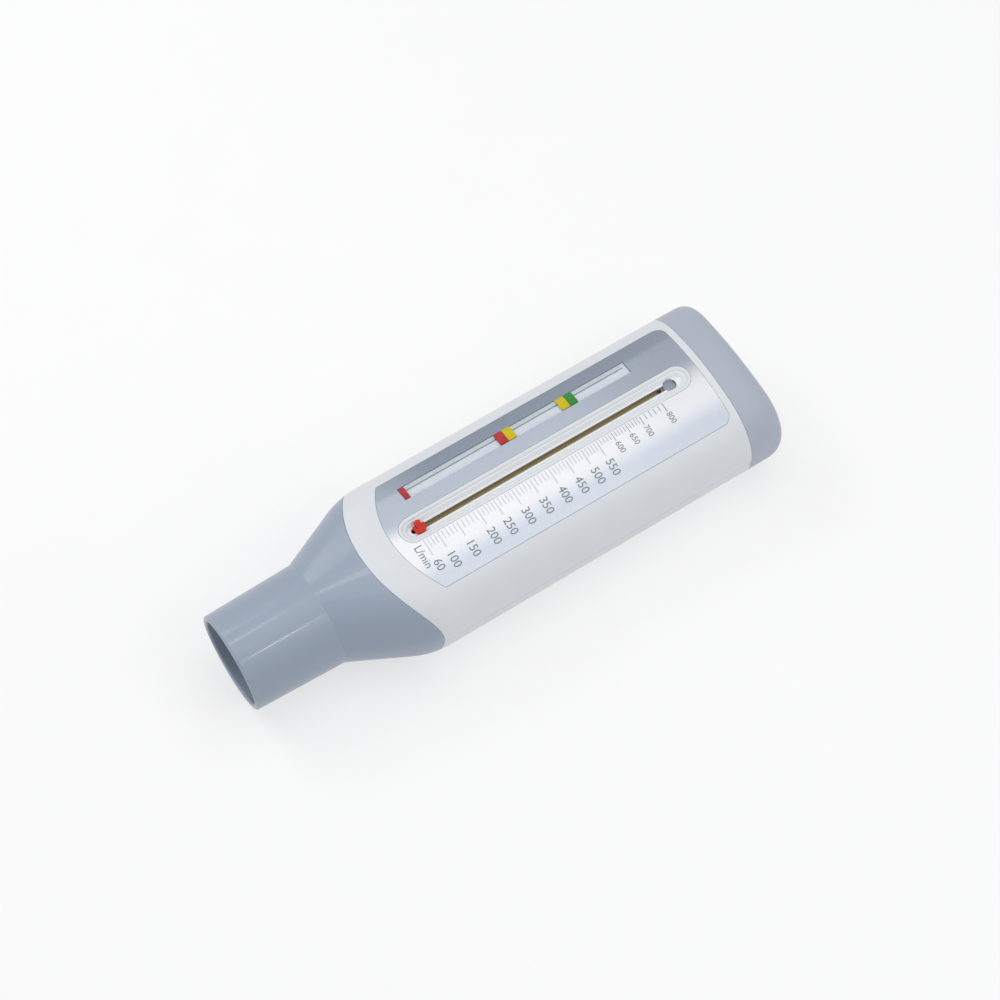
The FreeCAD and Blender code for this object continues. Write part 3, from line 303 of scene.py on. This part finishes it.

# %% [markdown]
# The scale plate is thin metal with a silver print. Tiny flakes in it catch the light one by one, which cells
# of random brightness imitate. Its colour is faintly blue along the near edge, nearly white round the numbers,
# darker between the slot and the zone track, and darkest beyond the track. It also darkens towards the end cap.
# Each of these bands is a ramp across or along the plate, written as the two places where it starts and ends.

# %% Silver plate
FLAKE = 0.22 * MM
NEAR_TO_PALE = (-16 * MM, -9 * MM)
PALE_TO_FAR = (-2 * MM, 5 * MM)
FAR_TO_EDGE = (12 * MM, 14.5 * MM)
EDGE_SETS_IN = (-36 * MM, -8 * MM)
LATE_SETS_IN = (20 * MM, 70 * MM)
LATE_ACROSS = (-6 * MM, 5 * MM)


def flaked_plate():
    recipe = Recipe(bpy.data.materials.new("plate_silver"))
    cells = recipe.node("TexVoronoi", sockets={"Vector": recipe.place(), "Scale": 1 / FLAKE}, out="Color")
    flake = recipe.node("SeparateColor", sockets={0: cells}, out=0)
    across, length = recipe.along("Y"), recipe.along("X")
    tone = recipe.mix(recipe.ramp(across, *NEAR_TO_PALE), tint(192, 199, 210), tint(222, 223, 227))
    tone = recipe.mix(recipe.ramp(across, *PALE_TO_FAR), tone, tint(170, 178, 191))
    edge = recipe.ramp(across, *FAR_TO_EDGE) * recipe.ramp(length, *EDGE_SETS_IN, 0.3, 1.0)
    tone = recipe.mix(edge, tone, tint(126, 136, 152))
    late = recipe.ramp(length, *LATE_SETS_IN, 0.0, 0.7) * recipe.ramp(across, *LATE_ACROSS, 0.2, 1.0)
    tone = recipe.mix(late, tone, tint(132, 142, 155))
    tone = recipe.mix(0.05 * flake, tone, WHITE)
    wear = recipe.clouds(14 * MM, 3.0)
    return recipe.surface(Base_Color=tone, Metallic=0.25 + 0.1 * flake, Roughness=0.42 + 0.1 * wear,
                          Normal=recipe.bump(flake, 0.004 * MM, 0.2))


finishes["plate_silver"] = flaked_plate()

# %% [markdown]
# The zone track is one pale moulding whose far side, beyond the slit, is bluer. Light goes a little way into
# such thin plastic, so the material scatters light below its face; and its deeper faces, down in the slit, are
# painted near white, a painted light that keeps the narrow slit from turning black.
#
# The small metal pieces inside, seen only through the mouthpiece or the slot, are turned steel and brass: rings
# of fine scratches run round their axis.

# %% Track and turned metal
TRACK_SLIT = (12.3 * MM, 12.5 * MM)
PAINTED_SLIT_LIGHT = (32.2 * MM, 32.6 * MM)


def track_pale():
    recipe = Recipe(bpy.data.materials.new("track_pale"))
    cloud = recipe.clouds(6 * MM, 2.0)
    near = recipe.mix(cloud, tint(206, 213, 222), tint(214, 221, 230))
    far = recipe.mix(cloud, tint(190, 200, 208), tint(198, 207, 214))
    base = recipe.mix(recipe.ramp(recipe.along("Y"), *TRACK_SLIT), near, far)
    # Painted light: faces below these heights, down in the slit, turn near white.
    base = recipe.mix(recipe.ramp(recipe.along("Z"), *PAINTED_SLIT_LIGHT, 1.0, 0.0), base, tint(252, 252, 252))
    return recipe.surface(Base_Color=base, Roughness=0.38 + 0.08 * cloud, Subsurface_Weight=0.7,
                          Subsurface_Radius=(1, 1, 1), Subsurface_Scale=1.5 * MM,
                          Normal=recipe.bump(recipe.clouds(GRAIN, 1.0), 0.004 * MM, 0.5))


def turned(name, colour, roughness):
    recipe = Recipe(bpy.data.materials.new(name))
    scratches = recipe.clouds(0.3 * MM, 2.0, stretch=(8, 1, 1))
    base = recipe.mix(scratches, shade(colour, 0.85), shade(colour, 1.05))
    return recipe.surface(Base_Color=base, Metallic=1.0, Roughness=roughness + 0.15 * scratches,
                          Normal=recipe.bump(scratches, 0.004 * MM, 0.6))


finishes["track_pale"] = track_pale()
finishes["spring_steel"] = turned("spring_steel", tint(196, 198, 202), 0.25)
finishes["bush_brass"] = turned("bush_brass", tint(214, 182, 112), 0.3)

# %% [markdown]
# Each solid of the model now takes its finish. The solids aren't moved or changed. Only their materials are
# replaced, so the measured sizes stay as they are.

# %% Dress the solids
DRESS = {
    "mouthpiece": "mouthpiece_grey", "front_cover": "body_white", "rear_cover": "body_white",
    "end_cap": "cap_grey", "scale_plate": "plate_silver", "zone_track": "track_pale",
    "zone_end_stop": "stop_red", "red_yellow_marker": "low_marker", "yellow_green_marker": "high_marker",
    "pointer": "pointer_red", "pointer_clip": "soft_black", "pointer_rail": "rail_olive",
    "keyhole_plug": "plug_grey", "barrel": "barrel_white", "piston": "piston_white",
    "piston_bush": "bush_brass", "guide_rod": "spring_steel", "return_spring": "spring_steel",
    "front_rod_holder": "barrel_white", "rear_rod_holder": "barrel_white", "front_rod_clip": "spring_steel",
    "rear_rod_clip": "spring_steel", "bumper": "soft_black", "sealing_ring": "soft_black",
}
for node, finish in DRESS.items():
    solid = frame["nodes"][node]
    solid.data.materials.clear()
    solid.data.materials.append(finishes[finish])
print("dressed", len(DRESS), "solids")

# %% [markdown]
# The return spring reaches from the piston to the bumper and shortens as the piston moves in. A solid keeps
# its shape, so a copy of the coil stands in its place with a mesh of its own. Its length when free and at the
# piston's full travel are worked out and printed; the copy itself keeps its shape.

# %% Spring copy
spring = frame["nodes"]["return_spring"]
coil = bpy.data.objects.new("return_coil", spring.data.copy())
bpy.context.scene.collection.objects.link(coil)
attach(coil, "housing")
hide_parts("return_spring")
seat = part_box("bumper")[0][0]
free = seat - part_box("return_spring")[0][0]
slides = {joint["name"]: joint["range_m"] for joint in frame["record"]["behaviour"]["joints"]}
travel = slides["piston_slide"][1]
(free - travel) / free
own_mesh(coil)
print("spring:", round(free / MM, 2), "mm free,", round((free - travel) / MM, 2), "mm at full travel")

# %% [markdown]
# The printed scale lies on a plate that is bent to the crown of the body, a cylinder of 53 mm radius. Marks are
# drawn flat first and then laid on that cylinder, a few hundredths of a millimetre above the plate, so that the
# print follows the curve in every view. Screen ink covers a little unevenly, and its face is satin.

# %% Lay flat drawings on the plate
CROWN = 53 * MM
CROWN_TOP = 34.7 * MM
LIFT = 0.03 * MM


def on_plate(x, y, lift=LIFT):
    """Point of the print above the plate's curve."""
    lean = math.asin(y / CROWN)
    reach = CROWN + lift
    return Vector((x, reach * math.sin(lean), CROWN_TOP - CROWN + reach * math.cos(lean)))


def printed(name, mesh, finish):
    """Make an object of a mesh, ink it and let it move with the housing."""
    mark = bpy.data.objects.new(name, mesh)
    bpy.context.scene.collection.objects.link(mark)
    mesh.materials.clear()
    mesh.materials.append(finish)
    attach(mark, "housing")


def ink(name, colour, late=None):
    """Screen ink. A second, darker colour takes over towards the end cap."""
    recipe = Recipe(bpy.data.materials.new(name))
    cover = recipe.clouds(0.5 * MM, 2.0)
    base = recipe.mix(cover, shade(colour, 0.92), shade(colour, 1.1))
    if late:
        base = recipe.mix(recipe.ramp(recipe.along("X"), 10 * MM, 60 * MM), base, late)
    return recipe.surface(Base_Color=base, Roughness=0.45 + 0.1 * cover,
                          Normal=recipe.bump(cover, 0.003 * MM, 0.4))


dark_ink = ink("dark_ink", tint(116, 125, 133))
pale_ink = ink("pale_ink", tint(204, 208, 213), late=tint(150, 158, 168))
print("height of the print at Y = -10 mm:", round(on_plate(0, -10 * MM).z / MM, 2), "mm")

# %% [markdown]
# The scale isn't even: the marks crowd together towards the fast end. The places of the longer marks are read
# off the object, in millimetres from the mouthpiece's end, and the short ones between them are shared out
# evenly, every 10 litres a minute up to 700 and every 20 beyond. Each mark is a narrow strip of a few quads
# along the curve. Above 550 the marks are shorter, because the numbers stand nearer to the slot there.

# %% Scale marks
MOUTH_END = model_box[0][0]
LONG_MARKS = {60: 61.7, 100: 66.2, 150: 72.5, 200: 79.4, 250: 84.9, 300: 90.9, 350: 96.9, 400: 103.2,
              450: 108.8, 500: 114.3, 550: 119.4, 600: 124.5, 650: 129.4, 700: 134.2, 800: 142.1}
LAST_FULL_MARK = 550
MARKS_START = -4.5 * MM
LONG_END, SHORT_END = -9.5 * MM, -7.3 * MM
HIGH_LONG_END, HIGH_SHORT_END = -7.4 * MM, -6.4 * MM
LONG_WIDTH, SHORT_WIDTH = 0.3 * MM, 0.26 * MM
STRIP_QUADS = 5


def mark_place(flow):
    """X of a flow on the scale, between the two long marks beside it."""
    flows = sorted(LONG_MARKS)
    upper = next(f for f in flows if f >= flow and f > flows[0])
    lower = max(f for f in flows if f < upper)
    share = (flow - lower) / (upper - lower)
    return MOUTH_END + (LONG_MARKS[lower] + share * (LONG_MARKS[upper] - LONG_MARKS[lower])) * MM


def strip(mesh, x, start, end, width):
    """Narrow printed line from one Y to another."""
    rows = []
    for i in range(STRIP_QUADS + 1):
        y = start + (end - start) * i / STRIP_QUADS
        rows.append([mesh.verts.new(on_plate(x + side * width / 2, y)) for side in (-1, 1)])
    for (a, b), (c, d) in zip(rows, rows[1:]):
        mesh.faces.new((a, b, d, c))


drawing = bmesh.new()
for flow in [*range(60, 700, 10), *range(700, 801, 20)]:
    long_mark = flow in LONG_MARKS
    if flow <= LAST_FULL_MARK:
        end = LONG_END if long_mark else SHORT_END
    else:
        end = HIGH_LONG_END if long_mark else HIGH_SHORT_END
    strip(drawing, mark_place(flow), MARKS_START, end, LONG_WIDTH if long_mark else SHORT_WIDTH)
marks_mesh = bpy.data.meshes.new("scale_marks")
drawing.to_mesh(marks_mesh)
drawing.free()
printed("scale_marks", marks_mesh, pale_ink)
print("marks:", len(marks_mesh.polygons) // STRIP_QUADS)

# %% [markdown]
# The numbers stand beside their marks and read across the meter, with their tops towards the end cap. Text
# objects give clean outlines. Turned into meshes, their points are laid on the plate like the marks, a hair
# higher. The numbers are a little narrower than the typeface gives them.

# %% Numbers and the unit
NARROW = 0.92
NUMBER_ROW, NUMBER_HEIGHT = -13.35 * MM, 3.65 * MM
FIRST_ROW = -12.7 * MM
HIGH_ROW, HIGH_HEIGHT = -9.5 * MM, 2.6 * MM
UNIT_PLACE, UNIT_ROW, UNIT_HEIGHT = 59.1 * MM, -8.6 * MM, 3.4 * MM


def lettering(name, words, x, y, height):
    """Words centred on a point of the plate, reading towards -Y."""
    curve = bpy.data.curves.new(name, "FONT")
    curve.body = words
    curve.size = height
    curve.align_x = "CENTER"
    curve.align_y = "CENTER"
    curve.resolution_u = 3
    text = bpy.data.objects.new(name, curve)
    bpy.context.scene.collection.objects.link(text)
    bpy.context.view_layer.update()
    mesh = bpy.data.meshes.new_from_object(text.evaluated_get(bpy.context.evaluated_depsgraph_get()))
    bpy.data.objects.remove(text)
    for point in mesh.vertices:
        point.co = on_plate(x + point.co.y, y - point.co.x * NARROW, 1.3 * LIFT)
    printed(name, mesh, dark_ink)


for flow in LONG_MARKS:
    if flow > LAST_FULL_MARK:
        row, height = HIGH_ROW, HIGH_HEIGHT
    else:
        row, height = FIRST_ROW if flow == min(LONG_MARKS) else NUMBER_ROW, NUMBER_HEIGHT
    lettering(f"number_{flow}", str(flow), mark_place(flow), row, height)
lettering("unit", "L/min", MOUTH_END + UNIT_PLACE, UNIT_ROW, UNIT_HEIGHT)
print("numbers:", len(LONG_MARKS))

# %% [markdown]
# The picture is taken with a long lens from high above the near side. The camera's place and turn were worked
# out from the outline of the meter in the photograph. The point that it looks at, its distance and its three
# axes are written down as they were found.

# %% Camera
bpy.context.scene.view_settings.view_transform = "Standard"
TARGET = Vector((4.76, 2.32, 17.2)) * MM
RIGHT = Vector((0.84117, -0.54064, -0.01224))
UP = Vector((0.48324, 0.74131, 0.46576))
AHEAD = Vector((0.24274, 0.39770, -0.88483))
DISTANCE = 712.12 * MM
camera = bpy.data.objects.new("camera", bpy.data.cameras.new("camera"))
bpy.context.scene.collection.objects.link(camera)
camera.data.sensor_width = 36
camera.data.lens = 88.84
camera.data.clip_start = 0.01
turn = Matrix((RIGHT, UP, -AHEAD)).transposed().to_4x4()
camera.matrix_world = Matrix.Translation(TARGET - AHEAD * DISTANCE) @ turn
bpy.context.scene.camera = camera
print("camera at", [round(v, 3) for v in camera.location])

# %% [markdown]
# The light is plain and white. Three large soft boxes, behind, overhead and in front, give the long, soft
# highlights that satin plastic shows, and a weaker one lights the mouthpiece from its open end. Two small lamps
# add what polished plastic mirrors of a studio: a thin bright line along the tube and a patch on the flare.
#
# The world fills the shadows with a dim light of its own, but the camera, and whatever mirrors the world, sees
# plain white.

# %% Lamps and world
MIDDLE = (0, 0, 0)
AMBIENT = 0.48


def soft_box(name, place, aim, size, watts):
    """Square area lamp that looks at a point."""
    lamp = bpy.data.lights.new(name, "AREA")
    lamp.energy = watts
    lamp.size = size
    box = bpy.data.objects.new(name, lamp)
    box.location = place
    box.rotation_euler = (Vector(aim) - Vector(place)).to_track_quat("-Z", "Y").to_euler()
    bpy.context.scene.collection.objects.link(box)


soft_box("back_box", (-0.25, 0.55, 0.55), MIDDLE, 0.45, 1.7)
soft_box("top_box", (0.15, 0.05, 0.8), MIDDLE, 0.6, 1.35)
soft_box("front_box", (0.25, -0.5, 0.6), MIDDLE, 0.5, 1.4)
soft_box("side_box", (-0.7, 0.12, 0.12), (-0.06, 0, 0.02), 0.3, 0.35)
soft_box("line_glint", (-0.002, -0.443, 0.698), (-0.07, 0, 0.03), 0.035, 0.07)
soft_box("patch_glint", (-0.03, 0.18, 0.81), (-0.05, 0, 0.03), 0.08, 0.10)

world = bpy.data.worlds.new("studio")
bpy.context.scene.world = world
sky = Recipe(world)
seen = sky.node("LightPath", out="Is Camera Ray")
mirrored = sky.node("LightPath", out="Is Glossy Ray")
through = sky.node("LightPath", out="Is Transmission Ray")
direct = sky.node("Math", {"operation": "ADD", "use_clamp": True}, {0: seen + mirrored, 1: through})
ambient = sky.node("Background", sockets={"Color": (0.97, 0.98, 1.0, 1), "Strength": AMBIENT})
backdrop = sky.node("Background", sockets={"Color": WHITE, "Strength": 1.0})
studio = sky.node("MixShader", sockets={0: direct, 1: ambient, 2: backdrop})
sky.node("OutputWorld", sockets={"Surface": studio})

# %% [markdown]
# The meter lies on a wide sheet of pale paper. Near the meter part of it is matte, so that it keeps a faint
# shadow. Further away it glows more and more like the background, until no edge shows between the two.

# %% Floor
FLOOR_HALF = 2.0
FLOOR_DROP = 0.2 * MM
FADE_START, FADE_END = 0.25, 0.9
GLOW_NEAR = 0.6

ground = bmesh.new()
bmesh.ops.create_grid(ground, x_segments=8, y_segments=8, size=FLOOR_HALF)
floor_mesh = bpy.data.meshes.new("floor")
ground.to_mesh(floor_mesh)
ground.free()
floor = bpy.data.objects.new("floor", floor_mesh)
floor.location.z = -FLOOR_DROP
bpy.context.scene.collection.objects.link(floor)
paper = Recipe(bpy.data.materials.new("floor_paper"))
seen = paper.node("LightPath", out="Is Camera Ray")
mirrored = paper.node("LightPath", out="Is Glossy Ray")
fibre = paper.clouds(0.02, 3.0)
pulp = paper.mix(fibre, (0.93, 0.93, 0.93, 1), (0.96, 0.96, 0.96, 1))
matte = paper.node("BsdfDiffuse", sockets={"Color": pulp})
glow = paper.node("Emission", sockets={"Color": WHITE, "Strength": 1.0})
away = paper.node("VectorMath", {"operation": "LENGTH"}, {0: paper.place()}, out="Value")
share = paper.ramp(away, FADE_START, FADE_END, GLOW_NEAR, 1.0) * (seen + mirrored)
lit = paper.node("MixShader", sockets={0: share, 1: matte, 2: glow})
paper.node("OutputMaterial", sockets={"Surface": lit})
floor_mesh.materials.append(paper.owner)
print("floor:", 2 * FLOOR_HALF, "m wide,", round(FLOOR_DROP / MM, 2), "mm below the meter")
